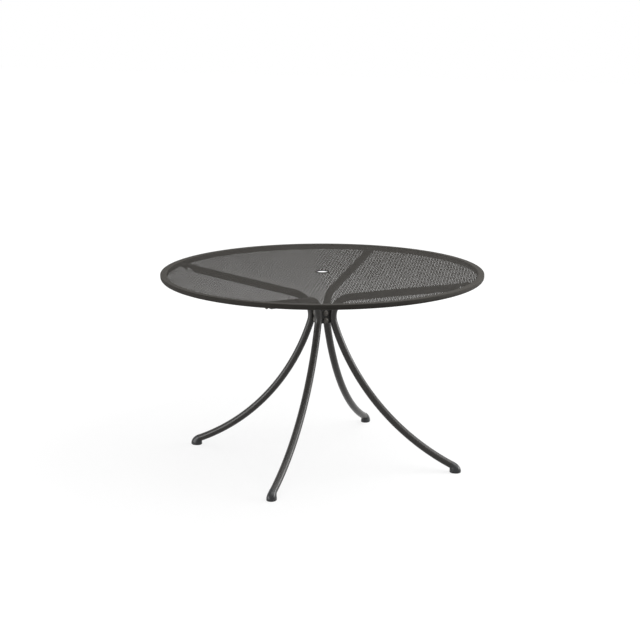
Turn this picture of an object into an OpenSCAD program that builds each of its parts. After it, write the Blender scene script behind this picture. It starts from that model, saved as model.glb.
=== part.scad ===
// Round garden table: a mesh top in a rolled steel rim, carried by four bent
// steel tubes that meet at a narrow waist, with a hole for a parasol pole.
// Millimetres. The origin is the middle of the floor under the table, +Z is up.
// The right leg lies on +X, the rear leg on +Y, the left leg on -X, the front leg on -Y.

/* [Table top] */
// Outer diameter of the rim
top_d = 1220; // [1060:10:1400]
// Height of the rim's upper face above the floor
table_h = 737; // [725:1:760]
// Width of the rim, seen from above
rim_w = 24; // [20:1:30]
// Height of the rim
rim_h = 20; // [18:1:26]
// Wall of the hollow rim
rim_wall = 1.5; // [1:0.1:2.5]
// Radius of the rim's small edges
rim_edge_r = 2.5; // [2:0.1:3.5]
// Radius of the rim's rolled lower outer edge
rim_roll_r = 11; // [6:0.5:13]

/* [Mesh sheet] */
// Depth of the mesh below the rim's upper face
mesh_drop = 1.5; // [1:0.1:3]
// Thickness of the mesh sheet
mesh_t = 1.2; // [0.8:0.1:2]
// Width of the plain band along the rim
mesh_band_w = 8; // [4:1:16]
// Width of the plain collar round the parasol hole
mesh_collar_w = 9; // [6:1:20]
// Long way of one diamond gap, strand included
diamond_l = 106; // [100:1:140]
// Short way of one diamond gap, strand included
diamond_s = 70; // [68:1:100]
// Width of the strands between the gaps
strand_w = 12; // [6:1:20]
// Turn of the diamond rows against the right leg
mesh_turn = 12.5; // [0:0.5:90]

/* [Parasol hole] */
// Diameter of the free hole for the pole
pole_hole_d = 41; // [36:0.5:44]
// Wall of the hole ring's neck
ring_neck_wall = 2.5; // [1.5:0.1:4]
// Overhang of the hole ring's flange past its neck
ring_flange_w = 2; // [1:0.5:5]
// Thickness of the hole ring's flange
ring_flange_t = 1.2; // [0.8:0.1:1.4]
// Length of the hole ring's neck below its flange
ring_neck_l = 2.2; // [2:0.1:6]
// Thickness of the lock ring under the mesh
lock_ring_t = 1; // [0.8:0.1:2]
// Width of the lock ring's band
lock_ring_w = 5; // [3:0.5:7]

/* [Leg tubes] */
// Outer diameter of the leg tubes
tube_d = 28; // [24:0.5:30]
// Wall of the leg tubes
tube_wall = 2; // [1.5:0.1:3]
// Distance from the table's axis to a tube's middle at the waist
waist_r = 43.5; // [42.5:0.5:52]
// Height of the waist
waist_z = 566; // [530:1:590]
// Radius of the bend at the waist
waist_bend_r = 80; // [70:1:95]
// Radius of the long sweep down to the foot
sweep_r = 850; // [800:10:1200]
// Distance from the table's axis to a tube's lower end
foot_end_r = 517; // [480:1:560]
// Height of the middle of a tube's lower end
foot_end_z = 28.5; // [26:0.5:32]
// Length over which an arm's end is pressed flat
flatten_l = 26; // [20:1:40]
// Height of the faint step where the pressing begins
press_step = 0.3; // [0.2:0.1:1]
// Thickness of the flattened end
tab_t = 5; // [4:0.5:7]
// Width of the flattened end
tab_w = 42; // [36:1:46]
// Flat length from the fixing hole inwards
tab_inner_l = 19; // [16:1:30]
// Flat length from the fixing hole outwards
tab_outer_l = 17; // [12:1:18]
// Length of the tool marks at the ends of the waist bend
mark_l = 4; // [2:0.5:8]
// Height of the tool marks
mark_h = 0.05; // [0.03:0.01:0.2]

/* [Rim lugs] */
// Thickness of the lugs that are welded inside the rim
lug_t = 4; // [3:0.5:6]
// Width of the lugs
lug_w = 38; // [30:1:46]
// Distance from the rim's inner wall to the fixing hole
fixing_inset = 21; // [19:1:28]
// Space between the lugs and the mesh for the bolt heads
lug_drop = 6.3; // [5.5:0.1:10]

/* [Foot caps] */
// Diameter of the cap where it meets the tube
cap_neck_d = 28.6; // [28:0.1:30]
// Diameter of the dome over the foot
cap_dome_d = 31; // [28:0.5:34]
// Height of the dome's middle
cap_dome_z = 17; // [15:0.5:22]
// Distance of the foot's middle beyond the tube's end
cap_reach = 16; // [12:1:22]
// Length of the foot's base, along the leg
cap_base_l = 44; // [38:1:50]
// Width of the foot's base, across the leg
cap_base_w = 37; // [34:1:42]
// Height of the widest line of the base
cap_lip_z = 8; // [6:0.5:11]
// Length of the spigot inside the tube
spigot_l = 28; // [15:1:40]

/* [Waist hub] */
// Height of the hub
hub_h = 50; // [46:1:70]
// Distance from the axis to the hub's four flats
hub_flat = 27; // [27:0.5:30]
// Thickness of the clamp plates between the legs
clamp_t = 4; // [4:0.5:7]
// Wall of the plastic bush in the hub
bush_wall = 1.6; // [1:0.1:2.5]
// Overhang of the bush's collar
bush_collar_w = 3; // [1.5:0.5:4]
// Thickness of the bush's collar
bush_collar_t = 2; // [1:0.5:3]
// Spacing of the two bolts of each clamp plate
hub_bolt_pitch = 28; // [24:1:32]

/* [Fasteners] */
// Diameter of the bolts' shanks
bolt_d = 7.8; // [6:0.1:8]
// Diameter of the domed heads of the hub bolts
hub_head_d = 21; // [14:0.5:21]
// Height of the domed heads of the hub bolts
hub_head_h = 5; // [4:0.5:8]
// Diameter of the low heads of the rim bolts
rim_head_d = 14; // [12:0.5:18]
// Height of the low heads of the rim bolts
rim_head_h = 4.4; // [3:0.1:5]
// Diameter of the washers
washer_d = 22; // [16:0.5:23]
// Thickness of the washers
washer_t = 1.6; // [1:0.1:2.5]
// Width across the flats of the cap nuts
nut_flats = 13; // [12:0.5:17]
// Height of the six-sided part of the cap nuts
nut_hex_h = 6.5; // [5:0.5:9]
// Radius of the cap nuts' domes
nut_dome_r = 5.9; // [5:0.1:6]

/* [Fits] */
// Gap between pieces that are pressed or welded together
seat_gap = 0.15; // [0.1:0.05:0.3]
// Radial gap between a bolt and its clearance hole
bolt_gap = 0.6; // [0.3:0.1:1]
// Radial gap between a bolt and its thread
thread_gap = 0.2; // [0.15:0.05:0.3]
// Radial gap between a plug or bush and its bore
plug_gap = 0.2; // [0.1:0.05:0.4]

/* [Hidden] */

$fn = 96;
overlap = 1;
facets_of_blends = 32;
facets_of_rings = 180;
facets_of_lugs = 360;
// Thickness of the thin slices that a blend is stretched over
slice_t = 0.1;
// Slices of a foot's base, from its shoulder down to the floor:
// each a share of the full footprint and a share of the lip's height
CAP_SLICES = [[0.96, 1.5], [1, 1], [0.95, 1 / 3], [0.84, 0]];
// Length of the rim bolts past the six-sided part of their nuts
bolt_spare = 1;

// Finishes as they look in daylight
coated_steel = [0.29, 0.28, 0.27];
coated_mesh = [0.34, 0.33, 0.32];
moulded_black = [0.22, 0.22, 0.22];
zinc_steel = [0.45, 0.45, 0.45];

// Where each leg points, and the diagonals between them
RIGHT = 0;
REAR = 90;
LEFT = 180;
FRONT = 270;
DIAGONAL = 45;

// Heights under the top, from the rim down
rim_r = top_d / 2;
rim_in_r = rim_r - rim_w;
rim_z = table_h - rim_h;
mesh_z = table_h - mesh_drop - mesh_t;
lug_z = mesh_z - lug_drop - lug_t;
tab_z = lug_z - tab_t;
fixing_r = rim_in_r - fixing_inset;
tab_in_r = fixing_r - tab_inner_l;

// Parasol hole
pole_r = pole_hole_d / 2;
ring_neck_r = pole_r + ring_neck_wall;
ring_flange_r = ring_neck_r + ring_flange_w;
ring_flange_z = mesh_z + mesh_t;
mesh_hole_r = ring_neck_r + plug_gap;

// Leg profile in its upright plane, as (distance from the axis, height):
// a straight arm, a tight bend at the waist and a long sweep to the foot
tube_r = tube_d / 2;
tube_in_r = tube_r - tube_wall;
bend_c = [waist_r + waist_bend_r, waist_z];
foot_end = [foot_end_r, foot_end_z];
arm_end = [tab_in_r - flatten_l, lug_z - tube_r];
arm_v = arm_end - bend_c;
arm_rise = atan2(arm_v.y, arm_v.x) - asin(waist_bend_r / norm(arm_v));
arm_start = bend_c + waist_bend_r * [-sin(arm_rise), cos(arm_rise)];
arm_l = norm(arm_end - arm_start);

// The sweep's centre lies on the line through the bend's centre and the point
// where the two arcs meet, at a turn that puts the foot's end on the sweep
centre_step = sweep_r - waist_bend_r;
foot_v = foot_end - bend_c;
foot_along = (foot_v * foot_v + centre_step * centre_step - sweep_r * sweep_r) / (2 * centre_step);
sweep_turn = atan2(foot_v.y, foot_v.x) + acos(foot_along / norm(foot_v));
sweep_c = bend_c + centre_step * [cos(sweep_turn), sin(sweep_turn)];
bend_from = 90 + arm_rise;
bend_to = 180 + sweep_turn;
end_v = foot_end - sweep_c;
sweep_to = 360 + atan2(end_v.y, end_v.x);
foot_dip = 270 - sweep_to;

// Foot
cap_r = foot_end_r + cap_reach;

// Hub
bush_r = pole_r + bush_wall;
hub_bore_r = bush_r + plug_gap;
hub_z = waist_z - hub_h / 2;
flute_turn = asin((hub_h / 2 + overlap) / waist_bend_r);
clamp_from = hub_flat + seat_gap;
clamp_to = clamp_from + clamp_t;
hub_washer_to = clamp_to + washer_t;

// Fasteners
bolt_r = bolt_d / 2;
bolt_hole_r = bolt_r + bolt_gap;
thread_r = bolt_r + thread_gap;
nut_z = tab_z - washer_t - nut_hex_h;
bolt_end_z = nut_z - bolt_spare;

// A rectangle with round corners, exact arcs, its lower left corner at the origin
module round_rect(size, r) {
    translate([r, 0]) square([size.x - 2 * r, size.y]);
    translate([0, r]) square([size.x, size.y - 2 * r]);
    for (x = [r, size.x - r], y = [r, size.y - r])
        translate([x, y]) circle(r);
}

// A pipe of radius r along part of a circle in the upright plane of a leg
module arc_rod(centre, bend_r, from, to, r) {
    translate([centre.x, 0, centre.y])
        rotate([90, 0, 0])
            rotate([0, 0, from])
                rotate_extrude(angle = to - from)
                    translate([bend_r, 0]) circle(r);
}

// The leg's round stretch as a rod of radius r
module leg_rod(r) {
    translate([arm_start.x, 0, arm_start.y])
        rotate([0, 90 - arm_rise, 0]) cylinder(h = arm_l, r = r);
    arc_rod(bend_c, waist_bend_r, bend_from, bend_to, r);
    arc_rod(sweep_c, sweep_r, bend_to, sweep_to, r);
    bend_mark(bend_from, r);
    bend_mark(bend_to, r);
}

// The faint mark that the bending tool leaves where a bend begins or ends
module bend_mark(turn, r) {
    mark = bend_c + waist_bend_r * [cos(turn), sin(turn)];
    translate([mark.x, 0, mark.y])
        rotate([0, -turn, 0])
            translate([0, 0, -mark_l / 2]) cylinder(h = mark_l, r = r + mark_h);
}

// The stretch of the arm that is pressed from round to flat
module pressed_end() {
    hull() {
        translate([arm_end.x, 0, arm_end.y])
            rotate([0, 90 - arm_rise, 0])
                cylinder(h = slice_t, r = tube_r - press_step, $fn = facets_of_blends);
        translate([tab_in_r - slice_t, -tab_w / 2, tab_z])
            cube([slice_t, tab_w, tab_t]);
    }
}

// The flat tab under the rim lug, with its fixing hole
module tab() {
    translate([0, 0, tab_z])
        linear_extrude(tab_t)
            difference() {
                union() {
                    translate([tab_in_r - slice_t, -tab_w / 2])
                        square([tab_inner_l, tab_w]);
                    translate([tab_in_r - slice_t, -tab_w / 2])
                        round_rect([tab_inner_l + tab_outer_l, tab_w], tab_outer_l / 2);
                }
                translate([fixing_r, 0]) circle(bolt_hole_r);
            }
}

// One bent tube: arm, waist bend and sweep in one piece, with its end pressed flat
module leg(turn) {
    color(coated_steel)
        rotate([0, 0, turn]) {
            difference() {
                leg_rod(tube_r);
                leg_rod(tube_in_r);
            }
            pressed_end();
            tab();
        }
}

// Moulded cap that plugs into the tube and turns its end down to the floor
module foot_cap(turn) {
    color(moulded_black)
        rotate([0, 0, turn]) {
            cap_shell();
            translate([foot_end.x, 0, foot_end.y])
                rotate([0, 90 + foot_dip, 0])
                    translate([0, 0, -spigot_l])
                        cylinder(h = spigot_l + cap_reach / 2, r = tube_in_r - plug_gap);
        }
}

// The cap's outside: a dome from the tube's end down to a base with a soft lip
module cap_shell() {
    hull() {
        translate([foot_end.x, 0, foot_end.y])
            rotate([0, 90 + foot_dip, 0])
                translate([0, 0, seat_gap])
                    cylinder(h = overlap, d = cap_neck_d, $fn = facets_of_blends);
        translate([cap_r, 0, cap_dome_z]) sphere(d = cap_dome_d, $fn = facets_of_blends);
        for (slice = CAP_SLICES) cap_base(slice[0], slice[1] * cap_lip_z);
    }
}

// A thin slice of the base at a height, as a share of the full footprint
module cap_base(share, z) {
    translate([cap_r, 0, z])
        scale([share * cap_base_l / cap_base_w, share, 1])
            cylinder(h = slice_t, d = cap_base_w, $fn = facets_of_blends);
}

// Hollow rolled rim
module top_rim() {
    color(coated_steel)
        rotate_extrude($fn = facets_of_rings)
            difference() {
                rim_section(0);
                rim_section(rim_wall);
            }
}

// The rim's section, drawn in by a margin, with three small corners and a rolled one
module rim_section(margin) {
    low = rim_z + margin;
    high = table_h - margin;
    near = rim_in_r + margin;
    far = rim_r - margin;
    edge = rim_edge_r - margin;
    roll = rim_roll_r - margin;
    polygon([[near + edge, low], [far - roll, low], [far, low + roll], [far, high - edge],
             [far - edge, high], [near + edge, high], [near, high - edge], [near, low + edge]]);
    translate([near + edge, low + edge]) circle(edge);
    translate([near + edge, high - edge]) circle(edge);
    translate([far - edge, high - edge]) circle(edge);
    intersection() {
        translate([far - roll, low + roll]) circle(roll);
        translate([far - roll, low]) square(roll);
    }
}

// The mesh top: a sheet with rows of diamond gaps, a plain band and a plain collar
module mesh_sheet() {
    gap_reach = rim_in_r - mesh_band_w;
    color(coated_mesh)
        translate([0, 0, mesh_z])
            linear_extrude(mesh_t)
                difference() {
                    circle(rim_in_r - seat_gap, $fn = facets_of_rings);
                    intersection() {
                        diamond_rows(gap_reach);
                        circle(gap_reach, $fn = facets_of_rings);
                    }
                    circle(mesh_hole_r);
                }
}

// Rows of diamond gaps, every other row moved on by half a diamond, up to a reach
module diamond_rows(reach) {
    rows = floor(2 * reach / diamond_s) + 1;
    columns = floor(reach / diamond_l) + 1;
    half = [(diamond_l - strand_w * diamond_l / diamond_s) / 2, (diamond_s - strand_w) / 2];
    difference() {
        rotate(mesh_turn)
            for (row = [-rows:rows], column = [-columns:columns]) {
                x = (column + (row % 2 == 0 ? 0 : 0.5)) * diamond_l;
                y = row * diamond_s / 2;
                if (norm([x, y]) < reach + half.y)
                    translate([x, y])
                        polygon([[-half.x, 0], [0, -half.y], [half.x, 0], [0, half.y]]);
            }
        circle(mesh_hole_r + mesh_collar_w);
    }
}

// Flanged ring that lines the parasol hole
module hole_ring() {
    color(moulded_black)
        difference() {
            union() {
                translate([0, 0, ring_flange_z])
                    cylinder(h = ring_flange_t, r = ring_flange_r);
                translate([0, 0, ring_flange_z - ring_neck_l])
                    cylinder(h = ring_neck_l, r = ring_neck_r);
            }
            translate([0, 0, ring_flange_z - ring_neck_l - overlap])
                cylinder(h = ring_neck_l + ring_flange_t + 2 * overlap, r = pole_r);
        }
}

// Thin lock ring pressed on the hole ring's neck, up against the mesh from below
module hole_lock_ring() {
    lock_r = ring_neck_r + seat_gap;
    color(moulded_black)
        translate([0, 0, mesh_z - lock_ring_t])
            difference() {
                cylinder(h = lock_ring_t, r = lock_r + lock_ring_w);
                translate([0, 0, -overlap])
                    cylinder(h = lock_ring_t + 2 * overlap, r = lock_r);
            }
}

// Plate welded to the rim's inner wall, over the flattened end of an arm
module rim_lug(turn) {
    color(coated_steel)
        rotate([0, 0, turn])
            translate([0, 0, lug_z])
                linear_extrude(lug_t)
                    difference() {
                        intersection() {
                            translate([tab_in_r + overlap, -lug_w / 2])
                                round_rect([2 * tab_inner_l + tab_outer_l + rim_w, lug_w], tab_outer_l / 2);
                            circle(rim_in_r - seat_gap, $fn = facets_of_lugs);
                        }
                        translate([fixing_r, 0]) circle(bolt_hole_r);
                    }
}

// Places its children at the four fixings along the rim
module at_fixings() {
    for (turn = [RIGHT, REAR, LEFT, FRONT])
        rotate([0, 0, turn]) translate([fixing_r, 0, 0]) children();
}

// Bolts with low round heads, from above through lug and tab
module rim_bolts() {
    color(zinc_steel)
        at_fixings() {
            translate([0, 0, lug_z + lug_t]) low_head(rim_head_d, rim_head_h);
            translate([0, 0, bolt_end_z])
                cylinder(h = lug_z + lug_t - bolt_end_z, r = bolt_r);
        }
}

// A low round head that stands on its own plane, with a chamfered upper edge
module low_head(d, h) {
    chamfer = h / 3;
    rotate_extrude()
        polygon([[0, 0], [d / 2, 0], [d / 2, h - chamfer], [d / 2 - chamfer, h], [0, h]]);
}

// Washers between the tabs and the cap nuts
module rim_washers() {
    color(zinc_steel)
        at_fixings()
            translate([0, 0, tab_z - washer_t]) washer();
}

module washer() {
    difference() {
        cylinder(h = washer_t, d = washer_d);
        translate([0, 0, -overlap])
            cylinder(h = washer_t + 2 * overlap, r = bolt_hole_r);
    }
}

// Cap nuts that close the bolts from below
module rim_cap_nuts() {
    color(zinc_steel)
        at_fixings()
            difference() {
                union() {
                    translate([0, 0, nut_z])
                        cylinder(h = nut_hex_h, d = nut_flats / cos(30), $fn = 6);
                    translate([0, 0, nut_z]) sphere(nut_dome_r);
                }
                translate([0, 0, bolt_end_z - overlap])
                    cylinder(h = nut_hex_h + 3 * overlap, r = thread_r);
            }
}

// Cast core of the waist: four flutes take the tubes, four flats take the clamp plates
module hub_core() {
    color(coated_steel)
        difference() {
            translate([0, 0, hub_z])
                rotate([0, 0, DIAGONAL])
                    translate([-hub_flat, -hub_flat, 0])
                        cube([2 * hub_flat, 2 * hub_flat, hub_h]);
            leg_bodies();
            translate([0, 0, hub_z - overlap])
                cylinder(h = hub_h + 2 * overlap, r = hub_bore_r);
            at_hub_bolts() rotate([0, 90, 0])
                cylinder(h = 2 * hub_flat, r = thread_r);
        }
}

// The four tubes over the hub's height with their seat gap, to be cut from what holds them
module leg_bodies() {
    for (turn = [RIGHT, REAR, LEFT, FRONT])
        rotate([0, 0, turn])
            arc_rod(bend_c, waist_bend_r, 180 - flute_turn, 180 + flute_turn, tube_r + seat_gap);
}

// Places its children on the eight bolt axes of the hub, pointing outwards
module at_hub_bolts() {
    for (turn = [RIGHT, REAR, LEFT, FRONT], side = [-1, 1])
        rotate([0, 0, turn + DIAGONAL])
            translate([0, 0, waist_z + side * hub_bolt_pitch / 2]) children();
}

// Plastic bush that guides the pole, dropped into the core, with a collar on top
module pole_bush() {
    barrel_l = hub_h + seat_gap;
    color(moulded_black)
        difference() {
            union() {
                translate([0, 0, hub_z]) cylinder(h = barrel_l, r = bush_r);
                translate([0, 0, hub_z + barrel_l])
                    cylinder(h = bush_collar_t, r = bush_r + bush_collar_w);
            }
            translate([0, 0, hub_z - overlap])
                cylinder(h = barrel_l + bush_collar_t + 2 * overlap, r = pole_r);
        }
}

// Plate that presses two neighbouring tubes into their flutes
module clamp(turn) {
    half_w = hub_flat;
    color(coated_steel)
        difference() {
            rotate([0, 0, turn])
                translate([clamp_from, -half_w, hub_z])
                    cube([clamp_t, 2 * half_w, hub_h]);
            leg_bodies();
            rotate([0, 0, turn]) clamp_trim();
            at_hub_bolts() rotate([0, 90, 0])
                cylinder(h = 2 * clamp_to, r = bolt_hole_r);
        }
}

// What lies past the tubes' middles is cut off the clamp plate
module clamp_trim() {
    reach = (waist_r - tube_r / 2) * sin(DIAGONAL);
    for (side = [-1, 1])
        translate([0, side * (reach + hub_flat) - hub_flat, hub_z - overlap])
            cube([2 * clamp_to, 2 * hub_flat, hub_h + 2 * overlap]);
}

// Domed bolts that hold the clamp plates on the core
module hub_bolts() {
    color(coated_steel)
        at_hub_bolts() {
            translate([hub_bore_r + overlap, 0, 0])
                rotate([0, 90, 0])
                    cylinder(h = hub_washer_to - hub_bore_r - overlap, r = bolt_r);
            translate([hub_washer_to, 0, 0])
                rotate([0, 90, 0]) dome_head(hub_head_d, hub_head_h);
        }
}

// A domed head: a slice of a sphere with a small flat edge
module dome_head(d, h) {
    edge = h / 4;
    ball_r = (d * d / 4 + (h - edge) * (h - edge)) / (2 * (h - edge));
    rotate_extrude()
        intersection() {
            square([d / 2, h]);
            translate([0, h - ball_r]) circle(ball_r);
        }
}

// Washers under the domed bolts
module hub_washers() {
    color(coated_steel)
        at_hub_bolts()
            translate([clamp_to, 0, 0]) rotate([0, 90, 0]) washer();
}

top_rim();
mesh_sheet();
hole_ring();
hole_lock_ring();
leg(RIGHT);  // right_leg
leg(REAR);  // rear_leg
leg(LEFT);  // left_leg
leg(FRONT);  // front_leg
foot_cap(RIGHT);  // right_foot_cap
foot_cap(REAR);  // rear_foot_cap
foot_cap(LEFT);  // left_foot_cap
foot_cap(FRONT);  // front_foot_cap
rim_lug(RIGHT);  // right_rim_lug
rim_lug(REAR);  // rear_rim_lug
rim_lug(LEFT);  // left_rim_lug
rim_lug(FRONT);  // front_rim_lug
rim_bolts();
rim_washers();
rim_cap_nuts();
hub_core();
pole_bush();
clamp(FRONT + DIAGONAL);  // front_right_clamp
clamp(RIGHT + DIAGONAL);  // rear_right_clamp
clamp(REAR + DIAGONAL);  // rear_left_clamp
clamp(LEFT + DIAGONAL);  // front_left_clamp
hub_bolts();
hub_washers();
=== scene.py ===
"""The looks of a round garden table: mesh top, rolled rim, four bent tubes and moulded feet.

Sizes are millimetres in this file and metres in Blender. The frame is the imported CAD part's:
the origin is the middle of the floor under the table, the right leg lies on +X.
"""

import logging
import math
from collections.abc import Sequence
from dataclasses import dataclass, field
from enum import Enum
from typing import Any

import bmesh
import bpy
from bpy.types import Material, Node, NodeSocket, NodeTree, Object
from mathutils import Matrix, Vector
from mathutils.geometry import interpolate_bezier


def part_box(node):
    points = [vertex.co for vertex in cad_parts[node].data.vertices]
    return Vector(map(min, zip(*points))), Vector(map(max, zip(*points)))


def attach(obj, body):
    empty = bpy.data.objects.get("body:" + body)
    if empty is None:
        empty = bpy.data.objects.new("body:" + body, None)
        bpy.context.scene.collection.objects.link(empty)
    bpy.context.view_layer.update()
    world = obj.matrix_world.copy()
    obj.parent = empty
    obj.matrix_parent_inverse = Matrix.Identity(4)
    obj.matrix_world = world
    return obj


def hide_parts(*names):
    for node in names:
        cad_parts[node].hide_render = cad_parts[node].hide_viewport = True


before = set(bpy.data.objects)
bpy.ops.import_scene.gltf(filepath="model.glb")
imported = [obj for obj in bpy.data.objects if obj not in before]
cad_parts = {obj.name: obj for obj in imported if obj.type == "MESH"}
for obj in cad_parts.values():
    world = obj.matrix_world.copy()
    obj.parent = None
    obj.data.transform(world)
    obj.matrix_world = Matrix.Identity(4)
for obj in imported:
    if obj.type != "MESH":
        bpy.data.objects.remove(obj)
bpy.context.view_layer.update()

MM = 0.001
BODY = "root"

Point = tuple[float, float, float]
Flat = tuple[float, float]
Ring = list[Point]
Skin = tuple[list[Point], list[list[int]]]

# Points nearer than this, in mm, are one point
SAME_POINT = 0.002
# Edges that turn more than this many degrees stay sharp
SHARP_DEG = 35.0
# Stretches along a rounded corner, and faces round a fastener
CORNER_STEPS = 4
FASTENER_STEPS = 48
# Radius of the bore for the parasol's pole, in the top and at the waist
BORE_R = 20.5
# Radius of the 8 mm bolts' shank and of their washers' hole, and the washers' bevel
SHANK_R = 3.9
WASHER_HOLE_R = 4.5
WASHER_BEVEL = 0.35
# Halvings that find a point to far below a thousandth of a millimetre
HALVINGS = 40

# Where in a noise's run from 0 to 1 the colour drifts, the flecks and the gloss change over
DRIFT_EDGES: Flat = (0.35, 0.65)
FLECK_EDGES: Flat = (0.55, 0.75)
GLOSS_EDGES: Flat = (0.3, 0.7)
DRIFT_DETAIL = 3.0
GRAIN_DETAIL = 2.0
# The Mix node's colour sockets, whose names its number sockets share
MIX_A, MIX_B, MIX_RESULT = 6, 7, 2

logging.basicConfig(level=logging.INFO, format="%(name)s: %(message)s")
log = logging.getLogger("garden_table")


class Side(Enum):
    """Where a leg points, as its turn about the table's axis in degrees."""

    RIGHT = 0
    REAR = 90
    LEFT = 180
    FRONT = 270


class Quarter(Enum):
    """Where a clamp plate sits between two legs, as its turn about the axis in degrees."""

    REAR_RIGHT = 45
    REAR_LEFT = 135
    FRONT_LEFT = 225
    FRONT_RIGHT = 315


class Slot(Enum):
    """The record's material slots."""

    FRAME = "coated_frame"
    MESH = "coated_mesh"
    PLASTIC = "moulded_plastic"
    HUB = "cast_hub"
    FASTENER = "fastener_steel"


def linear(code: str) -> tuple[float, float, float, float]:
    """Turns an sRGB hex colour into the linear colour that Blender works in.

    Args:
        code: six hex digits, with or without a leading #

    Returns:
        Linear red, green, blue and an alpha of 1
    """
    digits = code.lstrip("#")
    shares = [int(digits[i:i + 2], 16) / 255 for i in (0, 2, 4)]
    red, green, blue = (c / 12.92 if c <= 0.04045 else ((c + 0.055) / 1.055) ** 2.4
                        for c in shares)
    return red, green, blue, 1.0


def per_mm(size: float) -> float:
    """Returns the texture scale whose pattern repeats about every size millimetres."""
    return 1 / (size * MM)


def add_node(tree: NodeTree, kind: str, settings: dict[str | int, Any] | None = None) -> Node:
    """Adds a node with its settings and links.

    Args:
        tree: the node tree that gets the node
        kind: Blender's name of the node's type
        settings: what each property and each input, by its name or number, is set to; another
            node's output is linked, and a node stands for its first output

    Returns:
        The new node
    """
    node = tree.nodes.new(kind)
    for key, value in (settings or {}).items():
        if isinstance(value, Node):
            value = value.outputs[0]
        if isinstance(value, NodeSocket):
            tree.links.new(value, node.inputs[key])
        elif isinstance(key, str) and hasattr(node, key):
            setattr(node, key, value)
        else:
            node.inputs[key].default_value = value
    return node


def new_material(name: str) -> tuple[Material, NodeTree]:
    """Makes an empty node material.

    Args:
        name: the material's name

    Returns:
        The material and its emptied node tree
    """
    material = bpy.data.materials.new(name)
    material.use_nodes = True
    material.node_tree.nodes.clear()
    return material, material.node_tree


@dataclass(frozen=True)
class Surface:
    """A finish whose colour, gloss and relief vary a little over the surface.

    Attributes:
        name: the material's name
        colour: the main colour, sRGB hex
        shade: the colour of the darker drifts
        fleck: the colour of the fine flecks in the finish
        fleck_share: how much of the fleck colour shows at most
        roughness: the middle roughness
        roughness_spread: how far the roughness strays to either side
        drift_mm: size of the drifts in colour and gloss
        grain_mm: size of the surface's fine relief
        relief_mm: depth of that relief
        metallic: 0 for a coat or plastic, 1 for bare metal
        ior: index of refraction of the coat or plastic
        specular: strength of the mirror-like share of the light, 0.5 for a smooth skin
    """

    name: str
    colour: str
    shade: str
    fleck: str
    fleck_share: float
    roughness: float
    roughness_spread: float
    drift_mm: float
    grain_mm: float
    relief_mm: float
    metallic: float = 0.0
    ior: float = 1.5
    specular: float = 0.25

    def material(self) -> Material:
        """Builds the finish as a node material.

        Returns:
            The material
        """
        material, tree = new_material(self.name)
        place = add_node(tree, "ShaderNodeTexCoord").outputs["Object"]
        drift, grain = (
            add_node(tree, "ShaderNodeTexNoise", {
                "Scale": per_mm(size), "Detail": detail, "Vector": place}).outputs["Fac"]
            for size, detail in ((self.drift_mm, DRIFT_DETAIL), (self.grain_mm, GRAIN_DETAIL)))
        drifts, flecks, gloss = (
            add_node(tree, "ShaderNodeMapRange", {
                "Value": noise, "From Min": edges[0], "From Max": edges[1],
                "To Min": low, "To Max": high})
            for noise, edges, low, high in (
                (drift, DRIFT_EDGES, 0.0, 1.0),
                (grain, FLECK_EDGES, 0.0, self.fleck_share),
                (drift, GLOSS_EDGES, self.roughness - self.roughness_spread,
                 self.roughness + self.roughness_spread)))
        mottle = add_node(tree, "ShaderNodeMix", {
            "data_type": "RGBA", 0: drifts, MIX_A: linear(self.shade),
            MIX_B: linear(self.colour)})
        colour = add_node(tree, "ShaderNodeMix", {
            "data_type": "RGBA", 0: flecks, MIX_A: mottle.outputs[MIX_RESULT],
            MIX_B: linear(self.fleck)})
        relief = add_node(tree, "ShaderNodeBump", {
            "Strength": 1.0, "Distance": self.relief_mm * MM, "Height": grain})
        shader = add_node(tree, "ShaderNodeBsdfPrincipled", {
            "Metallic": self.metallic, "IOR": self.ior, "Specular IOR Level": self.specular,
            "Base Color": colour.outputs[MIX_RESULT], "Roughness": gloss, "Normal": relief})
        add_node(tree, "ShaderNodeOutputMaterial", {"Surface": shader})
        return material


# Polyester powder coat baked on steel tube: satin, its flow leaves a fine orange peel, and its
# dark iron grey has a warm cast with faint paler flecks
TUBE_COAT = Surface("powder_coat_on_steel_tube", "#2a2826", "#252321", "#3f3d3a", 0.5,
                    roughness=0.29, roughness_spread=0.04, drift_mm=45, grain_mm=2.2,
                    relief_mm=0.05, specular=0.28)
# The same coat on the rolled rim: hands and weather have dulled it, so its flat top mirrors
# little and looks evenly grey
RIM_COAT = Surface("weathered_powder_coat_on_rolled_rim", "#32302d", "#2c2a27", "#484643", 0.5,
                   roughness=0.68, roughness_spread=0.05, drift_mm=60, grain_mm=2.2,
                   relief_mm=0.05, specular=0.06)
# The same coat on the strands of expanded steel: thinner on the sheared edges, so it looks a
# little paler and rougher; its grain is drawn at 2 mm because the real 0.3 mm would not show
MESH_COAT = Surface("powder_coat_on_expanded_steel", "#353330", "#2f2d2a", "#484643", 0.5,
                    roughness=0.75, roughness_spread=0.05, drift_mm=30, grain_mm=2.0,
                    relief_mm=0.05, specular=0.08)
# Powder coat on sand-cast iron: the casting's skin shows through as a coarser, softer relief
CAST_COAT = Surface("powder_coat_on_cast_iron", "#201f1d", "#1b1a19", "#34312f", 0.5,
                    roughness=0.6, roughness_spread=0.06, drift_mm=18, grain_mm=3.0,
                    relief_mm=0.12)
# Injection-moulded nylon: near black and slightly cool, glossier than the coat, with the faint
# cloudiness that the mould leaves
FOOT_NYLON = Surface("moulded_black_nylon", "#2c2d2e", "#272829", "#38393a", 0.3,
                     roughness=0.3, roughness_spread=0.04, drift_mm=14, grain_mm=1.5,
                     relief_mm=0.02, ior=1.53)
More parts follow.
